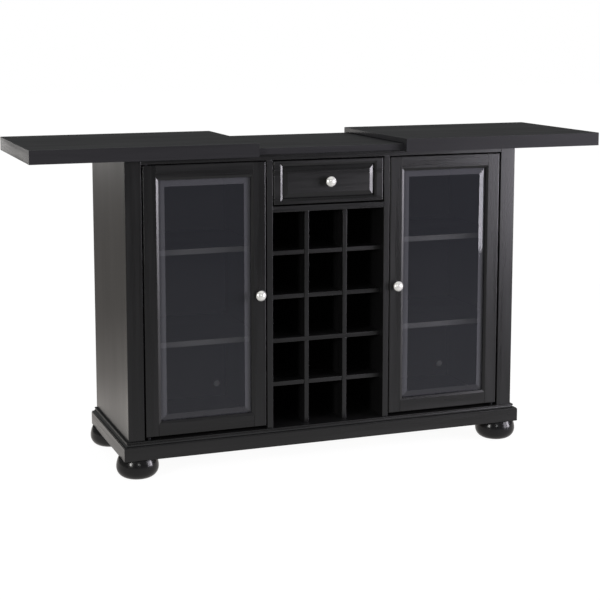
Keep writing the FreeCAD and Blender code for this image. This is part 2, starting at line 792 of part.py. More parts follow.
def right_top():
    """All pieces of the right-hand sliding top by name, in its open place."""
    panel = board(top_inner_end, top_outer_end, top_front, top_back, panel_bottom, panel_top)
    front_inner = top_front + apron_thickness
    back_apron = top_back - apron_thickness
    retainer_end = stop_inner - running_gap
    retainers = []
    for y0, y1 in ((front_inner - retainer_grip, body_front - retainer_body_clearance),
                   (body_back + retainer_body_clearance, back_apron + retainer_grip)):
        retainers.append(board(top_inner_end, retainer_end, y0, y1, apron_bottom,
                               apron_bottom + retainer_thickness))
    aprons = [
        board(top_inner_end, top_outer_end, top_front, front_inner, apron_bottom, panel_bottom),
        board(top_inner_end, top_outer_end, back_apron, top_back, apron_bottom, panel_bottom),
        board(top_outer_end - apron_thickness, top_outer_end, front_inner, back_apron, apron_bottom,
              panel_bottom),
    ]
    glides = []
    for y0 in (top_front + glide_inset, top_back - glide_inset - glide_width):
        glides.append(board(top_inner_end + glide_end_inset, board_end - glide_end_inset, y0,
                            y0 + glide_width, board_top + running_gap, panel_bottom))
    return {
        "top_panel": [eased(panel, "z", panel_top, top_edge_radius)],
        "top_aprons": [apron.cut(retainers) for apron in aprons],
        "top_glides": glides,
        "top_retainers": retainers,
    }


def make_tops():
    """Both sliding top halves."""
    for name, shapes in right_top().items():
        save("right_" + name, *shapes)
        save("left_" + name, *[mirrored(shape) for shape in shapes])


make_feet()
make_plinth()
make_moulding()
make_carcass()
make_face_frame()
make_shelves()
make_rack()
make_doors()
make_drawer()
make_fixed_board()
make_tops()
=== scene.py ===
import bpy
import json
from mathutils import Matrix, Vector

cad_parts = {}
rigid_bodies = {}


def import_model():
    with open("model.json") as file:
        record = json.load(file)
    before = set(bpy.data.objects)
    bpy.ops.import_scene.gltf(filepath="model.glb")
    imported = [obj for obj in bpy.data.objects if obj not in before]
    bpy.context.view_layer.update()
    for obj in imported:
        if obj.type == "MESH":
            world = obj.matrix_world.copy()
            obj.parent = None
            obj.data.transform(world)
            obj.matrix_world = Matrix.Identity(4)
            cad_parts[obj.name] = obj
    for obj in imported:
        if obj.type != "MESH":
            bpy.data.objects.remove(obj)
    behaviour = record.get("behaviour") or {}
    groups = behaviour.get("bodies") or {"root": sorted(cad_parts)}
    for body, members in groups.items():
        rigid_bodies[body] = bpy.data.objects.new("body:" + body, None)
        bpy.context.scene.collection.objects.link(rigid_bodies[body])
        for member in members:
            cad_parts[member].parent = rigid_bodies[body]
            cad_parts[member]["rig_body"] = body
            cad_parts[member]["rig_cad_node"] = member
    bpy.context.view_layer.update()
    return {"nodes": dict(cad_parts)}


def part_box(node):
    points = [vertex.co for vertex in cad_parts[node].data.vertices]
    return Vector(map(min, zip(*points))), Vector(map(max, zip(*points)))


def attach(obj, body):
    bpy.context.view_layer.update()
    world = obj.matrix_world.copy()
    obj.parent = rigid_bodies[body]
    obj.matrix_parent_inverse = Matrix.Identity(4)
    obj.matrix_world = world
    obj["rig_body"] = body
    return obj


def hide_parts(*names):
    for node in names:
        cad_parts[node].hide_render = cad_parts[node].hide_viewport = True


bl_info = {
    "name": "Bar Cabinet Finish",
    "version": (1, 0, 0),
    "blender": (4, 5, 0),
    "location": "View3D > Sidebar > Cabinet",
    "description": "Gives the cabinet's frame its finishes, its fine pieces and a stage",
    "category": "Object",
}

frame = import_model()

import json
import math

import bmesh
import bpy
from bpy.props import FloatProperty, FloatVectorProperty, PointerProperty
from bpy.types import Operator, Panel, PropertyGroup
from mathutils import Vector

AXES = ("X", "Y", "Z")
SIDES = ("left", "right")
WHITE = (1.0, 1.0, 1.0)

# A side of a board: its axis in AXES, and 0 for that axis' lower end or 1 for the upper one.
FRONT, UNDER, TOP = (1, 0), (2, 0), (2, 1)

# Rounding of the boards' edges.
SAME_PLACE = 0.00001
RIM_REACH = 0.0002
SHORT_EDGE = 0.006
FLAT_ANGLE = math.radians(0.5)
SHARP_ANGLE = math.radians(50.0)
EASE_ANGLE = math.radians(35.0)
EASE_STEPS = 3

# What part of a face's normal lies along an axis when the face looks that way.
FACING = 0.9
SQUARE_ON = 0.9999
FALLING = -0.01
END_FACING = 0.7
EASED_FACING = (0.2, 0.95)

# The wire holes in the back panel, and the steps of a grommet's inset rings as width and rise.
WIRE_HOLES = (-0.213, 0.536)
WIRE_HOLE_LEVEL = 0.146
WIRE_HOLE_RADIUS = 0.0079
GROMMET_VERTICES = 32
FLANGE_HEIGHT = 0.0011
GROMMET_RINGS = ((0.0008, 0.0006), (0.0022, 0.0), (0.0006, -0.0012), (0.0035, 0.0004))

# The back panel's screws. The cross recess is given in shares of the head's radius and height.
SCREW_VERTICES = 24
SCREW_INSET = 0.009
SCREW_PITCH = 0.15
RECESS_REACH = 0.62
RECESS_HALF_WIDTH = 0.13
RECESS_DEPTH = 0.7

# Where the noise of a finish mostly lies.
NOISE_RANGE = (0.3, 0.7)
PORE_RANGE = (0.35, 0.75)
MARK_RANGE = (0.25, 0.75)
RING_RANGE = (0.35, 0.65)

# Finishes: levels of gloss, pairs of colours from dark to light, and pairs of roughness.
STREAK_SHARE, PORE_SHARE = (0.0, 0.7), (0.0, 0.3)
FIGURE_RANGE = (0.2, 0.8)
FRAME_SPECULAR = 0.5
TOP_SPECULAR = 0.11
VENEER_SPREAD = 0.02
LUSTRE_SPREAD = (-0.03, 0.03)
FOOT_STAIN = ((0.007, 0.007, 0.0075), (0.011, 0.0105, 0.011))
FOOT_ROUGHNESS = (0.16, 0.22)
FOOT_SPECULAR = 0.28
PEEL_DEPTH = 0.00004
METAL_SHADE = 0.86
MARK_DEPTH = 0.000003
ZINC_ROUGHNESS = (0.3, 0.45)
# Roughness of the door pivots, whose near-black colour is painted shade.
PIVOT_PAINTED_SHADE_ROUGHNESS = (0.5, 0.6)
NICKEL_ROUGHNESS = (0.2, 0.28)
NICKEL_METALLIC = 0.5
PLASTIC_SHADES = ((0.93, 0.93, 0.96), (1.07, 1.07, 1.07))
PLASTIC_ROUGHNESS = (0.48, 0.6)
GRAIN_DEPTH = 0.00001
# Grey of the shelves' front faces, paler than the wood as a painted highlight.
SHELF_FRONT_HIGHLIGHT_GREY = 0.06
PLASTIC_GREY = 0.021
RUBBER_GREY = 0.7
HARDBOARD = ((0.0145, 0.0142, 0.0147), (0.0185, 0.018, 0.0186))
HARDBOARD_ROUGHNESS = (0.55, 0.7)
HARDBOARD_SPECULAR = 0.3
FIBRE_DEPTH = 0.000005
SOFTWOOD = ((0.3, 0.19, 0.1), (0.5, 0.37, 0.24))
SOFTWOOD_ROUGHNESS = (0.6, 0.8)
SOFTWOOD_DEPTH = 0.0001
DUST_SHADE = 0.9
GLASS_ROUGHNESS = (0.05, 0.06)
GLASS_IOR = 1.5
GLASS_SPECULAR = 1.0

# The floor: its grey, the reach of the object's shadow from the middle, the level of its white at
# both ends of that reach and how much of it covers the shadow there.
PAPER = (0.86, 0.86, 0.86)
SHADOW_REACH = (1.0, 3.0)
FLOOR_WHITE = (1.12, 1.02)
SHADOW_COVER = (0.84, 1.0)

# What a gloss sees of the floor: place from front to rear, level, and warmth, where 1 is neutral.
FLOOR_GLEAM = ((-4.0, 0.15, 1.0), (-0.6, 0.47, 1.0), (0.5, 0.95, 0.95), (1.0, 0.52, 0.94),
               (2.0, 0.27, 0.94), (8.0, 0.24, 0.94), (11.0, 1.4, 0.98))

# What a gloss sees of the studio: a range of the direction and the levels at its ends.
REAR_RANGE, REAR_GLEAM = (-0.2, 0.8), (0.06, 0.2)
CEILING_RANGE, CEILING_GLEAM = (0.5, 0.9), (0.0, 0.8)
STUDIO_COLOUR = (0.97, 1.0, 0.98)

# The lamps: name, place, aim, width, height and colour.
MIDDLE = (0.0, 0.0, 0.5)
LAMPS = (
    ("right", (4.2, -2.3, 1.05), (0.0, -0.2, 0.6), 1.1, 2.0, (0.95, 0.91, 1.0)),
    ("stile", (2.34, -2.42, 0.85), (0.48, -0.2, 0.6), 0.9, 1.5, (0.94, 0.91, 1.0)),
    ("left", (-3.3, -2.3, 1.2), MIDDLE, 0.6, 0.8, (1.0, 0.99, 0.97)),
    ("front", (-1.2, -7.0, 2.4), MIDDLE, 1.0, 0.8, WHITE),
)

# The camera, with its focal length and the level of its axis in pixels of the photograph.
IMAGE_SIDE = 600.0
SENSOR_WIDTH = 36.0
FOCAL_PIXELS = 1452.9
AXIS_PIXELS = 217.0
CAMERA_PLACE = (-1.4811, -3.9396, 1.2479)
CAMERA_TILT = -0.1359
CAMERA_TURN = -0.3563


def colour_property(name, description, default):
    """A linear colour that a user may change."""
    return FloatVectorProperty(name=name, description=description, subtype="COLOR", size=3,
                               min=0.0, max=1.0, default=default)


def length_property(name, description, default):
    """A length in metres that a user may change."""
    return FloatProperty(name=name, description=description, default=default, min=0.0,
                         unit="LENGTH", precision=4)


def share_property(name, description, default):
    """A share from 0 to 1 that a user may change."""
    return FloatProperty(name=name, description=description, default=default, min=0.0, max=1.0,
                         subtype="FACTOR")


def level_property(name, description, default):
    """A level of light that a user may change."""
    return FloatProperty(name=name, description=description, default=default, min=0.0)


def power_property(name, description, default):
    """A lamp's power in watts that a user may change."""
    return FloatProperty(name=name, description=description, default=default, min=0.0,
                         unit="POWER")


class LacquerSettings(PropertyGroup):
    stain_dark: colour_property(
        "Stain, dark", "Black stain in the dense wood", (0.0052, 0.0051, 0.0054))
    stain_light: colour_property(
        "Stain, light", "Black stain over the open grain", (0.0076, 0.0074, 0.0078))
    top_dark: colour_property(
        "Top stain, dark", "Stain of the tops in the dense wood", (0.0175, 0.017, 0.019))
    top_light: colour_property(
        "Top stain, light", "Stain of the tops over the open grain", (0.0225, 0.022, 0.0245))
    gloss_low: share_property(
        "Roughness, polished", "Roughness on the dense wood", 0.25)
    gloss_high: share_property(
        "Roughness, open", "Roughness on the open grain", 0.36)
    top_gloss_low: share_property(
        "Top roughness, polished", "Roughness of the tops' dense wood", 0.45)
    top_gloss_high: share_property(
        "Top roughness, open", "Roughness of the tops' open grain", 0.52)
    pore_depth: length_property(
        "Pore depth", "How deep the open grain lies under the lacquer", 0.00001)


class GlassSettings(PropertyGroup):
    body: colour_property(
        "Body", "Grey of the pane", (0.056, 0.0585, 0.071))
    # The bevel's paler grey and stronger veil are a painted reflection on the ground bevel; the
    # lower run's darker grey is painted shade of the floor it faces.
    bevel: colour_property(
        "Bevel", "Grey of the ground bevel", (0.15, 0.15, 0.17))
    low_bevel: colour_property(
        "Lower bevel", "Grey of the bevel's lower run", (0.062, 0.062, 0.072))
    veil: share_property(
        "Veil", "How much of the pane's own grey shows", 0.21)
    bevel_veil: share_property(
        "Bevel veil", "How much of the bevel's own grey shows", 0.45)
    bevel_width: length_property(
        "Bevel width", "Width of the ground bevel", 0.0255)
    bevel_depth: length_property(
        "Bevel depth", "How far the bevel falls to the pane's rim", 0.002)


class EaseSettings(PropertyGroup):
    board: length_property(
        "Board edges", "Rounding of the body's boards", 0.0009)
    rack: length_property(
        "Rack edges", "Rounding of the wine rack's and the shelves' front edges", 0.0012)
    top: length_property(
        "Top edges", "Rounding of the tops' edges", 0.0013)
    plinth: length_property(
        "Plinth edges", "Rounding of the plinth's lower edges", 0.0015)


class MetalSettings(PropertyGroup):
    nickel: colour_property(
        "Nickel", "Satin nickel of the knobs", (0.95, 0.94, 0.9))
    zinc: colour_property(
        "Zinc", "Zinc plate of the fittings", (0.5, 0.51, 0.53))
    # The door pivots' near-black is painted shade for the shadowed gap above the doors, in place of
    # their bright zinc plate.
    dark_zinc: colour_property(
        "Dark zinc", "Blackened zinc of the door pivots", (0.025, 0.025, 0.027))
    screw_radius: length_property(
        "Screw radius", "Radius of a screw head", 0.0036)
    screw_height: length_property(
        "Screw height", "Height of a screw head", 0.0014)
    grommet_radius: length_property(
        "Grommet radius", "Radius of a grommet's flange", 0.009)


class StageSettings(PropertyGroup):
    floor_side: length_property(
        "Floor side", "Side of the square floor", 40.0)
    ambient: level_property(
        "Ambient", "Level of the plain light from all round", 0.5)
    bounce: level_property(
        "Floor bounce", "Level of the light that the floor gives to matt faces", 0.6)
    right_lamp: power_property(
        "Right softbox", "Power of the right softbox", 150.0)
    stile_lamp: power_property(
        "Stile softbox", "Power of the softbox at the front right", 36.0)
    left_lamp: power_property(
        "Left softbox", "Power of the left softbox", 60.0)
    front_lamp: power_property(
        "Front softbox", "Power of the softbox behind the camera", 32.0)


def settings(group):
    """One of the scene's groups of sizes and colours."""
    return getattr(bpy.context.scene, "cabinet_" + group)


def pick(*objects):
    """Selects these objects alone, in object mode, with the last one active."""
    if bpy.context.mode != "OBJECT":
        bpy.ops.object.mode_set(mode="OBJECT")
    bpy.ops.object.select_all(action="DESELECT")
    for piece in objects:
        piece.select_set(True)
    if objects:
        bpy.context.view_layer.objects.active = objects[-1]


def edit(piece):
    """Opens one piece in edit mode with all of it selected."""
    pick(piece)
    bpy.ops.object.mode_set(mode="EDIT")
    bpy.ops.mesh.select_all(action="SELECT")


def select_where(piece, kind, wanted):
    """Selects, in edit mode, the faces or the edges that wanted says yes to."""
    bpy.ops.mesh.select_mode(type=kind)
    bpy.ops.mesh.select_all(action="DESELECT")
    mesh = bmesh.from_edit_mesh(piece.data)
    for part in mesh.faces if kind == "FACE" else mesh.edges:
        if wanted(part):
            part.select_set(True)
    bmesh.update_edit_mesh(piece.data)


def apply_place():
    """Puts the selected pieces' place, turn and size in their meshes."""
    bpy.ops.object.transform_apply(location=True, rotation=True, scale=True)


def board(name, low, high):
    """A block between two corners, with its place in its mesh."""
    middle = [(a + b) / 2 for a, b in zip(low, high)]
    size = [b - a for a, b in zip(low, high)]
    pick()
    bpy.ops.mesh.primitive_cube_add(size=1.0, location=middle, scale=size)
    piece = bpy.context.active_object
    piece.name = name
    apply_place()
    return piece


def rod(name, vertices, radius, depth, place):
    """A cylinder along y, with its place in its mesh."""
    pick()
    bpy.ops.mesh.primitive_cylinder_add(vertices=vertices, radius=radius, depth=depth,
                                        location=place, rotation=(math.pi / 2, 0.0, 0.0))
    piece = bpy.context.active_object
    piece.name = name
    apply_place()
    return piece


def settle(piece, body, slot, *replaced):
    """Hands a finished piece to its body and hides the CAD nodes that it stands for; slot is not
    used.
    """
    pick(piece)
    apply_place()
    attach(piece, body)
    if replaced:
        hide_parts(*replaced)


def smoothed(piece):
    """Smooth shading up to the easing angle, with broad faces kept flat."""
    pick(piece)
    bpy.ops.object.shade_smooth_by_angle(angle=EASE_ANGLE)
    even = piece.modifiers.new("even", "WEIGHTED_NORMAL")
    even.keep_sharp = True
    bpy.ops.object.modifier_apply(modifier=even.name)


def merged_copy(node):
    """A copy of a CAD board, open in edit mode, with its loose triangles merged to whole faces."""
    pick(frame["nodes"][node])
    bpy.ops.object.duplicate()
    piece = bpy.context.active_object
    piece.name = node + "_eased"
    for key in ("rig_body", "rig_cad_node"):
        del piece[key]
    bpy.ops.mesh.customdata_custom_splitnormals_clear()
    edit(piece)
    bpy.ops.mesh.remove_doubles(threshold=SAME_PLACE)
    bpy.ops.mesh.select_all(action="SELECT")
    bpy.ops.mesh.dissolve_limited(angle_limit=FLAT_ANGLE)
    return piece


def stand_for(node, piece, finish):
    """Finishes a copy of a CAD board and puts it in the board's place."""
    bpy.ops.object.mode_set(mode="OBJECT")
    smoothed(piece)
    piece.data.materials.clear()
    piece.data.materials.append(finish)
    settle(piece, frame["nodes"][node]["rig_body"], "black_wood", node)
    return piece


def on_sharp_rim(edge, planes):
    """Whether an edge is sharp and long, and lies in one of the planes."""
    if len(edge.link_faces) != 2 or edge.calc_length() < SHORT_EDGE:
        return False
    if edge.calc_face_angle(0.0) < SHARP_ANGLE:
        return False
    return any(all(abs(vert.co[axis] - place) < RIM_REACH for vert in edge.verts)
               for axis, place in planes)


def eased(node, finish, width, *sides):
    """A copy of a CAD board with the sharp edges of these sides rounded, which stands for it."""
    piece = merged_copy(node)
    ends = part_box(node)
    planes = [(axis, ends[end][axis]) for axis, end in sides]
    select_where(piece, "EDGE", lambda edge: on_sharp_rim(edge, planes))
    bpy.ops.mesh.bevel(offset=width, segments=EASE_STEPS, affect="EDGES", clamp_overlap=True)
    return stand_for(node, piece, finish)


def second_finish(piece, finish, wanted):
    """Gives the faces whose normal wanted says yes to another finish."""
    piece.data.materials.append(finish)
    for face in piece.data.polygons:
        face.material_index = int(wanted(face.normal))


def copies(piece, offsets):
    """Joins copies of the piece at these offsets to it."""
    made = []
    for offset in offsets:
        pick(piece)
        bpy.ops.object.duplicate()
        bpy.ops.transform.translate(value=offset)
        made.append(bpy.context.active_object)
    pick(*made, piece)
    bpy.ops.object.join()


def evenly(start, end, pitch):
    """Places from start to end about this pitch apart."""
    count = max(1, round((end - start) / pitch))
    return [start + (end - start) * step / count for step in range(count + 1)]


def screw_head(name, place):
    """A low screw head with a cross recess at a place, facing the rear."""
    metal = settings("metal")
    head = rod(name, SCREW_VERTICES, metal.screw_radius, metal.screw_height, (0.0, 0.0, 0.0))
    edit(head)
    face = -metal.screw_height / 2
    select_where(head, "EDGE",
                 lambda edge: all(vert.co.y < face + SAME_PLACE for vert in edge.verts))
    bpy.ops.mesh.bevel(offset=metal.screw_height / 2, segments=EASE_STEPS, affect="EDGES",
                       clamp_overlap=True)
    bpy.ops.object.mode_set(mode="OBJECT")
    reach, half = metal.screw_radius * RECESS_REACH, metal.screw_radius * RECESS_HALF_WIDTH
    deep = face + metal.screw_height * RECESS_DEPTH
    bar = board("recess_bar", (-reach, face * 2, -half), (reach, deep, half))
    post = board("recess_post", (-half, face * 2, -reach), (half, deep, reach))
    for cutter in (bar, post):
        pick(head)
        cut = head.modifiers.new("recess", "BOOLEAN")
        cut.operation = "DIFFERENCE"
        cut.object = cutter
        bpy.ops.object.modifier_apply(modifier=cut.name)
        bpy.data.objects.remove(cutter)
    pick(head)
    head.rotation_euler = (0.0, 0.0, math.pi)
    head.location = place
    apply_place()
    smoothed(head)
    head.data.materials.append(zinc())
    return head


def add_node(tree, kind, **sockets):
    """A shader node with these input values."""
    made = tree.nodes.new("ShaderNode" + kind)
    for name, value in sockets.items():
        made.inputs[name.replace("_", " ")].default_value = value
    return made


def skin_of(name):
    """A new material with its tree and its shader."""
    made = bpy.data.materials.new(name)
    made.use_nodes = True
    tree = made.node_tree
    tree.nodes.clear()
    skin = add_node(tree, "BsdfPrincipled")
    end = add_node(tree, "OutputMaterial")
    tree.links.new(skin.outputs["BSDF"], end.inputs["Surface"])
    return made, tree, skin


def stretched_noise(tree, axis, along, across, detail=2.0, rough=0.55):
    """Noise drawn out along one axis. The scales are in cycles per metre."""
    place = add_node(tree, "TexCoord")
    stretch = add_node(tree, "Mapping")
    scale = [across] * len(AXES)
    scale[AXES.index(axis)] = along
    stretch.inputs["Scale"].default_value = scale
    noise = add_node(tree, "TexNoise", Scale=1.0, Detail=detail, Roughness=rough)
    tree.links.new(place.outputs["Object"], stretch.inputs["Vector"])
    tree.links.new(stretch.outputs["Vector"], noise.inputs["Vector"])
    return noise.outputs["Fac"]


def ranged(tree, source, given, wanted):
    """source with its given range brought to the wanted range."""
    made = add_node(tree, "MapRange", From_Min=given[0], From_Max=given[1], To_Min=wanted[0],
                    To_Max=wanted[1])
    tree.links.new(source, made.inputs["Value"])
    return made.outputs["Result"]


def reckoned(tree, operation, first, second):
    """Two values brought together by a sum, a product or the like."""
    made = add_node(tree, "Math")
    made.operation = operation
    tree.links.new(first, made.inputs[0])
    tree.links.new(second, made.inputs[1])
    return made.outputs["Value"]


def mixed_colour(tree, share, first, second):
    """A colour from first to second by share."""
    made = tree.nodes.new("ShaderNodeMix")
    made.data_type = "RGBA"
    made.inputs["A"].default_value = (*first, 1.0)
    made.inputs["B"].default_value = (*second, 1.0)
    tree.links.new(share, made.inputs["Factor"])
    return made.outputs["Result"]


def bumped(tree, skin, height, distance):
    """Raises the skin by height."""
    bump = add_node(tree, "Bump", Strength=1.0, Distance=distance)
    tree.links.new(height, bump.inputs["Height"])
    tree.links.new(bump.outputs["Normal"], skin.inputs["Normal"])


def lacquered_wood(name, axis, stain, gloss, specular=FRAME_SPECULAR):
    """Black stained wood under satin lacquer, with its grain along one axis."""
    made, tree, skin = skin_of(name)
    streaks = stretched_noise(tree, axis, along=2.0, across=50.0, detail=3.0)
    pores = stretched_noise(tree, axis, along=10.0, across=260.0)
    clouds = stretched_noise(tree, axis, along=2.0, across=5.0)
    figure = reckoned(tree, "ADD", ranged(tree, streaks, NOISE_RANGE, STREAK_SHARE),
                      ranged(tree, pores, PORE_RANGE, PORE_SHARE))
    tree.links.new(mixed_colour(tree, figure, *stain), skin.inputs["Base Color"])
    lustre = reckoned(tree, "ADD", ranged(tree, figure, FIGURE_RANGE, gloss),
                      ranged(tree, clouds, NOISE_RANGE, LUSTRE_SPREAD))
    tree.links.new(lustre, skin.inputs["Roughness"])
    skin.inputs["Specular IOR Level"].default_value = specular
    bumped(tree, skin, figure, -settings("lacquer").pore_depth)
    return made


def foot_gloss(name):
    """Black gloss lacquer of the turned feet, with a trace of orange peel."""
    made, tree, skin = skin_of(name)
    peel = stretched_noise(tree, "Z", along=140.0, across=140.0)
    tree.links.new(mixed_colour(tree, peel, *FOOT_STAIN), skin.inputs["Base Color"])
    tree.links.new(ranged(tree, peel, NOISE_RANGE, FOOT_ROUGHNESS), skin.inputs["Roughness"])
    skin.inputs["Specular IOR Level"].default_value = FOOT_SPECULAR
    bumped(tree, skin, peel, PEEL_DEPTH)
    return made


def satin_metal(name, colour, roughness, metallic=1.0):
    """Plated metal with faint brushed marks. Below 1, metallic leaves a lustre that scatters."""
    made, tree, skin = skin_of(name)
    marks = stretched_noise(tree, "Y", along=60.0, across=300.0)
    darker = [part * METAL_SHADE for part in colour]
    tree.links.new(mixed_colour(tree, marks, darker, colour), skin.inputs["Base Color"])
    tree.links.new(ranged(tree, marks, MARK_RANGE, roughness), skin.inputs["Roughness"])
    skin.inputs["Metallic"].default_value = metallic
    bumped(tree, skin, marks, MARK_DEPTH)
    return made


def grained_plastic(name, grey):
    """Matt moulded plastic or rubber with a fine grain."""
    made, tree, skin = skin_of(name)
    grain = stretched_noise(tree, "Z", along=240.0, across=240.0)
    shades = [[grey * part for part in shade] for shade in PLASTIC_SHADES]
    tree.links.new(mixed_colour(tree, grain, *shades), skin.inputs["Base Color"])
    tree.links.new(ranged(tree, grain, NOISE_RANGE, PLASTIC_ROUGHNESS), skin.inputs["Roughness"])
    bumped(tree, skin, grain, GRAIN_DEPTH)
    return made


def faced_hardboard(name):
    """Black faced hardboard with a soft leathery texture."""
    made, tree, skin = skin_of(name)
    fibre = stretched_noise(tree, "Z", along=30.0, across=60.0)
    cloud = stretched_noise(tree, "X", along=4.0, across=4.0)
    tree.links.new(mixed_colour(tree, fibre, *HARDBOARD), skin.inputs["Base Color"])
    tree.links.new(ranged(tree, cloud, NOISE_RANGE, HARDBOARD_ROUGHNESS),
                   skin.inputs["Roughness"])
    skin.inputs["Specular IOR Level"].default_value = HARDBOARD_SPECULAR
    bumped(tree, skin, fibre, FIBRE_DEPTH)
    return made


def bare_softwood(name):
    """Unfinished softwood with growth lines."""
    made, tree, skin = skin_of(name)
    rings = stretched_noise(tree, "X", along=2.0, across=60.0, detail=6.0, rough=0.6)
    fibre = stretched_noise(tree, "X", along=20.0, across=700.0, detail=3.0)
    share = ranged(tree, rings, RING_RANGE, (0.0, 1.0))
    tree.links.new(mixed_colour(tree, share, *SOFTWOOD), skin.inputs["Base Color"])
    tree.links.new(ranged(tree, fibre, NOISE_RANGE, SOFTWOOD_ROUGHNESS), skin.inputs["Roughness"])
    bumped(tree, skin, fibre, SOFTWOOD_DEPTH)
    return made


def pane_glass(name, colour, veil):
    """Clear pane glass with a grey of its own. On the bevels this grey is painted reflection, and
    on their lower run painted shade.
    """
    made, tree, skin = skin_of(name)
    dust = stretched_noise(tree, "Z", along=5.0, across=5.0)
    darker = [part * DUST_SHADE for part in colour]
    tree.links.new(mixed_colour(tree, dust, darker, colour), skin.inputs["Base Color"])
    tree.links.new(ranged(tree, dust, NOISE_RANGE, GLASS_ROUGHNESS), skin.inputs["Roughness"])
    skin.inputs["IOR"].default_value = GLASS_IOR
    skin.inputs["Specular IOR Level"].default_value = GLASS_SPECULAR
    skin.inputs["Alpha"].default_value = veil
    return made


def finish_named(name, maker, *words):
    """The finish of this name, made once."""
    return bpy.data.materials.get(name) or maker(name, *words)


def wood(axis):
    """The frame's lacquered wood with its grain along axis."""
    lacquer = settings("lacquer")
    return finish_named("lacquered_wood_" + axis.lower(), lacquered_wood, axis,
                        (lacquer.stain_dark, lacquer.stain_light),
                        (lacquer.gloss_low, lacquer.gloss_high))


def top_wood():
    """The tops' lacquered wood, a little lighter and duller than the frame's."""
    lacquer = settings("lacquer")
    return finish_named("lacquered_top_wood", lacquered_wood, "X",
                        (lacquer.top_dark, lacquer.top_light),
                        (lacquer.top_gloss_low, lacquer.top_gloss_high), TOP_SPECULAR)


def end_wood():
    """The tops' ends, with the tops' stain and the frame's gloss."""
    lacquer = settings("lacquer")
    return finish_named("lacquered_end_wood", lacquered_wood, "Y",
                        (lacquer.top_dark, lacquer.top_light),
                        (lacquer.gloss_low, lacquer.gloss_high))


def even_wood(axis):
    """Lacquered veneer with a more even gloss than the frame's."""
    lacquer = settings("lacquer")
    gloss = (lacquer.gloss_low + lacquer.gloss_high) / 2
    return finish_named("lacquered_veneer_" + axis.lower(), lacquered_wood, axis,
                        (lacquer.stain_dark, lacquer.stain_light), (gloss, gloss + VENEER_SPREAD))


def zinc():
    """Bright zinc plate of the fittings."""
    return finish_named("zinc_plate", satin_metal, tuple(settings("metal").zinc), ZINC_ROUGHNESS)


def dress(material, *nodes):
    """Gives CAD nodes this finish."""
    for name in nodes:
        piece = frame["nodes"][name]
        piece.data.materials.clear()
        piece.data.materials.append(material)


class CABINET_OT_frame_wood(Operator):
    """Finish the body's boards, the plinth and the moulding"""
    bl_idname = "cabinet.frame_wood"
    bl_label = "Body Boards"

    def execute(self, context):
        ease = settings("ease")
        dress(even_wood("Z"), "side_panel_left", "side_panel_right")
        dress(even_wood("X"), "bottom_panel", "carcass_top")
        dress(wood("X"), "base_moulding_front")
        dress(wood("Y"), "base_moulding_sides")
        for side in SIDES:
            eased("face_stile_" + side, wood("Z"), ease.board, FRONT)
        for side in SIDES:
            eased("partition_" + side, even_wood("Z"), ease.board, FRONT)
        for node in ("face_rails", "drawer_shelf"):
            eased(node, wood("X"), ease.board, FRONT)
        # The shelves' front faces are painted a paler grey than the wood: a painted highlight for
        # the light they catch.
        front_highlight = finish_named("edge_band", grained_plastic, SHELF_FRONT_HIGHLIGHT_GREY)
        for side in SIDES:
            shelf = eased(side + "_shelves", even_wood("X"), ease.rack, FRONT)
            second_finish(shelf, front_highlight, lambda normal: normal.y < -FACING)
        eased("plinth_front", wood("X"), ease.plinth, UNDER)
        for side in SIDES:
            eased("plinth_" + side, wood("Y"), ease.plinth, UNDER)
        return {"FINISHED"}


class CABINET_OT_rack(Operator):
    """Finish the wine rack"""
    bl_idname = "cabinet.rack"
    bl_label = "Wine Rack"

    def execute(self, context):
        for node, axis in (("uprights", "Z"), ("shelves", "X"), ("middle_shelf", "X")):
            eased("rack_" + node, wood(axis), settings("ease").rack, FRONT)
        return {"FINISHED"}


class CABINET_OT_doors(Operator):
    """Finish the doors' stiles, rails and beads"""
    bl_idname = "cabinet.doors"
    bl_label = "Doors"

    def execute(self, context):
        for side in SIDES:
            dress(wood("Z"), side + "_door_stiles", side + "_door_beads")
            dress(wood("X"), side + "_door_rails")
        return {"FINISHED"}


class CABINET_OT_glass(Operator):
    """Fit the bevelled panes"""
    bl_idname = "cabinet.glass"
    bl_label = "Glass"

    def execute(self, context):
        glass = settings("glass")
        finishes = (
            finish_named("pane_glass", pane_glass, tuple(glass.body), glass.veil),
            finish_named("bevel_glass", pane_glass, tuple(glass.bevel), glass.bevel_veil),
            finish_named("low_bevel_glass", pane_glass, tuple(glass.low_bevel), glass.bevel_veil),
        )
        for side in SIDES:
            self.pane(side, glass, finishes)
        return {"FINISHED"}

    def pane(self, side, glass, finishes):
        """One door's pane, with its bevel in a paler grey as painted reflection and the bevel's
        lower run in a darker grey as painted shade.
        """
        node = side + "_door_glass"
        low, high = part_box(node)
        rim = (low[0], low[1] + glass.bevel_depth, low[2])
        pane = board(side + "_door_pane", rim, high)
        for finish in finishes:
            pane.data.materials.append(finish)
        edit(pane)
        select_where(pane, "FACE", lambda part: part.normal.y < -FACING)
        bpy.ops.mesh.inset(thickness=glass.bevel_width, depth=glass.bevel_depth,
                           use_even_offset=True)
        # The bevel's paler finish is painted reflection, and its lower run's darker one painted
        # shade.
        self.assign(pane, 1, lambda normal: -SQUARE_ON < normal.y < -FACING)
        self.assign(pane, 2, lambda normal: normal.y < -FACING and normal.z < FALLING)
        bpy.ops.object.mode_set(mode="OBJECT")
        settle(pane, side + "_door", "tinted_glass", node)

    def assign(self, pane, slot, wanted):
        """Gives the faces whose normal wanted says yes to the finish in this slot."""
        select_where(pane, "FACE", lambda part: wanted(part.normal))
        pane.active_material_index = slot
        bpy.ops.object.material_slot_assign()


class CABINET_OT_drawer(Operator):
    """Finish the drawer"""
    bl_idname = "cabinet.drawer"
    bl_label = "Drawer"

    def execute(self, context):
        dress(wood("X"), "drawer_front_frame", "drawer_front_panel", "drawer_box")
        dress(finish_named("faced_hardboard", faced_hardboard), "drawer_bottom")
        return {"FINISHED"}


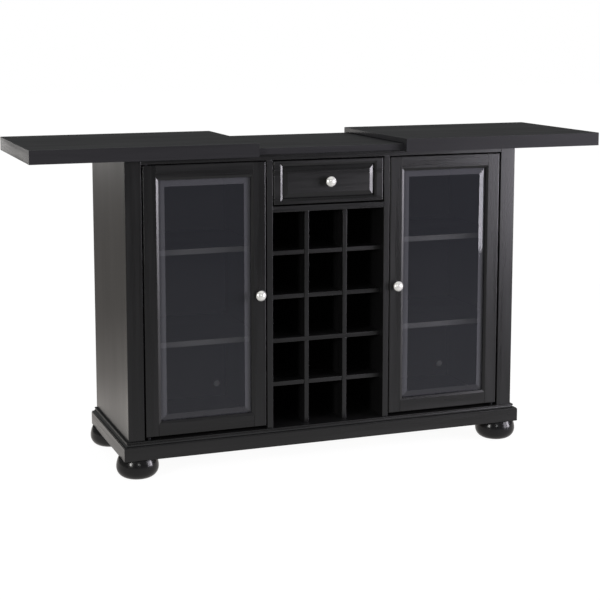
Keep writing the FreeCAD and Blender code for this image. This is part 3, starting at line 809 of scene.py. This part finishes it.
class CABINET_OT_tops(Operator):
    """Finish the fixed board and the sliding halves"""
    bl_idname = "cabinet.tops"
    bl_label = "Tops"

    def execute(self, context):
        ease = settings("ease")
        pieces = [eased("fixed_top_board", top_wood(), ease.top, TOP, UNDER)]
        for side in SIDES:
            aprons = side + "_top_aprons"
            pieces += [eased(side + "_top_panel", top_wood(), ease.top, TOP),
                       stand_for(aprons, merged_copy(aprons), top_wood())]
        for piece in pieces:
            second_finish(piece, end_wood(), self.is_end)
        return {"FINISHED"}

    @staticmethod
    def is_end(normal):
        """Whether a face of the tops with this normal is an end or a rounded edge."""
        return abs(normal.x) > END_FACING or EASED_FACING[0] < normal.z < EASED_FACING[1]


class CABINET_OT_feet(Operator):
    """Finish the turned feet"""
    bl_idname = "cabinet.feet"
    bl_label = "Feet"

    def execute(self, context):
        gloss = finish_named("foot_gloss", foot_gloss)
        dress(gloss, "foot_front_left", "foot_front_right", "foot_rear_left", "foot_rear_right")
        return {"FINISHED"}


class CABINET_OT_knobs(Operator):
    """Finish the knobs"""
    bl_idname = "cabinet.knobs"
    bl_label = "Knobs"

    def execute(self, context):
        nickel = finish_named("satin_nickel", satin_metal, tuple(settings("metal").nickel),
                              NICKEL_ROUGHNESS, NICKEL_METALLIC)
        dress(nickel, "left_door_knob", "right_door_knob", "drawer_knob")
        return {"FINISHED"}


class CABINET_OT_fittings(Operator):
    """Finish the steel and plastic fittings, the back and the hidden wood"""
    bl_idname = "cabinet.fittings"
    bl_label = "Fittings"

    def execute(self, context):
        dress(zinc(), "foot_bolts", "shelf_pins", "runner_channels", "drawer_runners",
              "left_top_retainers", "right_top_retainers")
        # The pivots get a near-black zinc as painted shade of the gap above the doors.
        dark = finish_named("dark_zinc", satin_metal, tuple(settings("metal").dark_zinc),
                            PIVOT_PAINTED_SHADE_ROUGHNESS)
        dress(dark, "pivot_brackets", "left_door_pivots", "right_door_pivots")
        plastic = finish_named("grained_plastic", grained_plastic, PLASTIC_GREY)
        dress(plastic, "magnetic_catches", "slide_stops", "left_top_glides", "right_top_glides")
        dress(finish_named("bare_softwood", bare_softwood), "plinth_blocks", "plinth_back")
        dress(finish_named("faced_hardboard", faced_hardboard), "back_panel")
        self.back_screws()
        self.grommets()
        return {"FINISHED"}

    def back_screws(self):
        """Screws round the back panel and along the partitions."""
        low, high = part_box("back_panel")
        left, right = low[0] + SCREW_INSET, high[0] - SCREW_INSET
        foot, head = low[2] + SCREW_INSET, high[2] - SCREW_INSET
        spots = []
        for z in (foot, head):
            spots += [(x, z) for x in evenly(left, right, SCREW_PITCH)]
        columns = [left, right]
        for side in SIDES:
            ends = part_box("partition_" + side)
            columns.append((ends[0][0] + ends[1][0]) / 2)
        for x in columns:
            spots += [(x, z) for z in evenly(foot, head, SCREW_PITCH)[1:-1]]
        y = high[1] + settings("metal").screw_height / 2
        first = spots[0]
        screw = screw_head("back_screws", (first[0], y, first[1]))
        copies(screw, [(x - first[0], 0.0, z - first[1]) for x, z in spots[1:]])
        settle(screw, "cabinet", "zinc_steel")

    def grommets(self):
        """A rubber grommet with a closed membrane in each wire hole."""
        low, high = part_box("back_panel")
        place = (WIRE_HOLES[0], (low[1] + high[1]) / 2, WIRE_HOLE_LEVEL)
        ring = rod("wire_grommets", GROMMET_VERTICES, WIRE_HOLE_RADIUS, high[1] - low[1], place)
        flange = settings("metal").grommet_radius / WIRE_HOLE_RADIUS
        edit(ring)
        for out in (-1.0, 1.0):
            select_where(ring, "FACE", lambda part: part.normal.y * out > FACING)
            bpy.ops.mesh.extrude_region_move()
            bpy.ops.transform.resize(value=(flange, 1.0, flange), center_override=place)
            rise = {"value": (0.0, out * FLANGE_HEIGHT, 0.0)}
            bpy.ops.mesh.extrude_region_move(TRANSFORM_OT_translate=rise)
            for width, depth in GROMMET_RINGS:
                bpy.ops.mesh.inset(thickness=width, depth=depth)
        bpy.ops.mesh.select_all(action="SELECT")
        bpy.ops.mesh.normals_make_consistent(inside=False)
        bpy.ops.object.mode_set(mode="OBJECT")
        smoothed(ring)
        ring.data.materials.append(finish_named("grey_rubber", grained_plastic, RUBBER_GREY))
        copies(ring, [(WIRE_HOLES[1] - WIRE_HOLES[0], 0.0, 0.0)])
        settle(ring, "cabinet", "black_plastic")


def softbox(name, place, aim, width, height, colour, power):
    """A rectangular area lamp that faces a point, hidden from the camera."""
    data = bpy.data.lights.new(name, "AREA")
    data.shape = "RECTANGLE"
    data.size = width
    data.size_y = height
    data.energy = power
    data.color = colour
    lamp = bpy.data.objects.new(name, data)
    lamp.location = place
    lamp.rotation_euler = (Vector(aim) - Vector(place)).to_track_quat("-Z", "Y").to_euler()
    lamp.visible_camera = False
    bpy.context.scene.collection.objects.link(lamp)


def seen_share(tree):
    """1 where the camera or a pane looks, and where a gloss looks, each as a socket."""
    path = add_node(tree, "LightPath")
    direct = reckoned(tree, "MAXIMUM", path.outputs["Is Camera Ray"],
                      path.outputs["Is Transmission Ray"])
    return direct, path.outputs["Is Glossy Ray"]


def chosen(tree, share, first, second):
    """A shader from first to second by share."""
    made = add_node(tree, "MixShader")
    tree.links.new(share, made.inputs["Fac"])
    tree.links.new(first, made.inputs[1])
    tree.links.new(second, made.inputs[2])
    return made.outputs["Shader"]


def split_axes(tree, source):
    """A node with the parts of a place or a direction along the three axes."""
    split = add_node(tree, "SeparateXYZ")
    tree.links.new(source, split.inputs["Vector"])
    return split


def floor_gleam(tree, place):
    """What a gloss sees of the floor, by the table from front to rear."""
    ramp = add_node(tree, "ValToRGB")
    stops = ramp.color_ramp.elements
    while len(stops) < len(FLOOR_GLEAM):
        stops.new(0.5)
    front, rear = FLOOR_GLEAM[0][0], FLOOR_GLEAM[-1][0]
    for stop, (y, level, warm) in zip(stops, FLOOR_GLEAM):
        stop.position = (y - front) / (rear - front)
        stop.color = (level, level * warm, level * warm ** 2, 1.0)
    tree.links.new(ranged(tree, split_axes(tree, place).outputs["Y"], (front, rear), (0.0, 1.0)),
                   ramp.inputs["Fac"])
    lit = add_node(tree, "Emission", Strength=1.0)
    tree.links.new(ramp.outputs["Color"], lit.inputs["Color"])
    return lit.outputs["Emission"]


def backdrop_floor(side, bounce):
    """The white floor. It keeps the shadow, lights matt faces evenly, and is dimmer for a gloss."""
    pick()
    bpy.ops.mesh.primitive_plane_add(size=side)
    floor = bpy.context.active_object
    floor.name = "stage_floor"
    made = bpy.data.materials.new("stage_white")
    made.use_nodes = True
    tree = made.node_tree
    tree.nodes.clear()
    paper = add_node(tree, "BsdfDiffuse", Color=(*PAPER, 1.0)).outputs["BSDF"]
    white = add_node(tree, "Emission", Color=(*WHITE, 1.0))
    even = add_node(tree, "Emission", Color=(*WHITE, 1.0), Strength=bounce).outputs["Emission"]
    place = add_node(tree, "TexCoord").outputs["Object"]
    apart = add_node(tree, "VectorMath")
    apart.operation = "LENGTH"
    tree.links.new(place, apart.inputs[0])
    reach = apart.outputs["Value"]
    tree.links.new(ranged(tree, reach, SHADOW_REACH, FLOOR_WHITE), white.inputs["Strength"])
    direct, gloss = seen_share(tree)
    cover = reckoned(tree, "MULTIPLY", direct, ranged(tree, reach, SHADOW_REACH, SHADOW_COVER))
    spread = add_node(tree, "LightPath").outputs["Is Diffuse Ray"]
    shown = chosen(tree, spread, paper, even)
    shown = chosen(tree, gloss, shown, floor_gleam(tree, place))
    shown = chosen(tree, cover, shown, white.outputs["Emission"])
    end = add_node(tree, "OutputMaterial")
    tree.links.new(shown, end.inputs["Surface"])
    floor.data.materials.append(made)


def plain_world(ambient):
    """White where it is seen, a dim studio with a bright ceiling for a gloss, else plain light."""
    world = bpy.data.worlds.new("stage_world")
    world.use_nodes = True
    tree = world.node_tree
    tree.nodes.clear()
    plain = add_node(tree, "Background", Color=(*WHITE, 1.0), Strength=ambient)
    white = add_node(tree, "Background", Color=(*WHITE, 1.0), Strength=1.0)
    studio = add_node(tree, "Background", Color=(*STUDIO_COLOUR, 1.0))
    aim = split_axes(tree, add_node(tree, "TexCoord").outputs["Generated"])
    rear = ranged(tree, aim.outputs["Y"], REAR_RANGE, REAR_GLEAM)
    ceiling = ranged(tree, aim.outputs["Z"], CEILING_RANGE, CEILING_GLEAM)
    tree.links.new(reckoned(tree, "MAXIMUM", rear, ceiling), studio.inputs["Strength"])
    direct, gloss = seen_share(tree)
    shown = chosen(tree, gloss, plain.outputs["Background"], studio.outputs["Background"])
    shown = chosen(tree, direct, shown, white.outputs["Background"])
    end = add_node(tree, "OutputWorld")
    tree.links.new(shown, end.inputs["Surface"])
    bpy.context.scene.world = world


def photo_camera():
    """The camera at the photograph's place. Its shift keeps the upright lines near upright."""
    data = bpy.data.cameras.new("camera")
    data.sensor_width = SENSOR_WIDTH
    data.lens = FOCAL_PIXELS / IMAGE_SIDE * SENSOR_WIDTH
    data.shift_y = (AXIS_PIXELS - IMAGE_SIDE / 2) / IMAGE_SIDE
    camera = bpy.data.objects.new("camera", data)
    camera.location = CAMERA_PLACE
    camera.rotation_euler = (math.pi / 2 + CAMERA_TILT, 0.0, CAMERA_TURN)
    bpy.context.scene.collection.objects.link(camera)
    bpy.context.scene.camera = camera


class CABINET_OT_stage(Operator):
    """Set the floor, the lamps, the world and the camera"""
    bl_idname = "cabinet.stage"
    bl_label = "Stage"

    def execute(self, context):
        stage = settings("stage")
        backdrop_floor(stage.floor_side, stage.bounce)
        plain_world(stage.ambient)
        for name, *lamp in LAMPS:
            softbox(name + "_softbox", *lamp, getattr(stage, name + "_lamp"))
        photo_camera()
        context.scene.view_settings.view_transform = "Standard"
        return {"FINISHED"}


PIECES = (CABINET_OT_frame_wood, CABINET_OT_rack, CABINET_OT_doors, CABINET_OT_glass,
          CABINET_OT_drawer, CABINET_OT_tops, CABINET_OT_feet, CABINET_OT_knobs,
          CABINET_OT_fittings, CABINET_OT_stage)
GROUPS = {"lacquer": LacquerSettings, "ease": EaseSettings, "glass": GlassSettings,
          "metal": MetalSettings, "stage": StageSettings}


class CABINET_PT_pieces(Panel):
    """Lists the cabinet's pieces and their sizes and colours"""
    bl_idname = "CABINET_PT_pieces"
    bl_label = "Bar Cabinet"
    bl_space_type = "VIEW_3D"
    bl_region_type = "UI"
    bl_category = "Cabinet"

    def draw(self, context):
        for piece in PIECES:
            self.layout.operator(piece.bl_idname)
        for group in GROUPS:
            box = self.layout.box()
            box.label(text=group.title())
            for name in GROUPS[group].__annotations__:
                box.prop(settings(group), name)


def register():
    """Adds the classes and the scene's groups."""
    for made in (*GROUPS.values(), *PIECES, CABINET_PT_pieces):
        bpy.utils.register_class(made)
    for name, made in GROUPS.items():
        setattr(bpy.types.Scene, "cabinet_" + name, PointerProperty(type=made))


def unregister():
    """Takes the classes and the scene's groups away."""
    for name in GROUPS:
        delattr(bpy.types.Scene, "cabinet_" + name)
    for made in reversed((*GROUPS.values(), *PIECES, CABINET_PT_pieces)):
        bpy.utils.unregister_class(made)


def main():
    """Builds the pieces in order."""
    register()
    for piece in PIECES:
        group, call = piece.bl_idname.split(".")
        getattr(getattr(bpy.ops, group), call)()


if __name__ == "__main__":
    main()
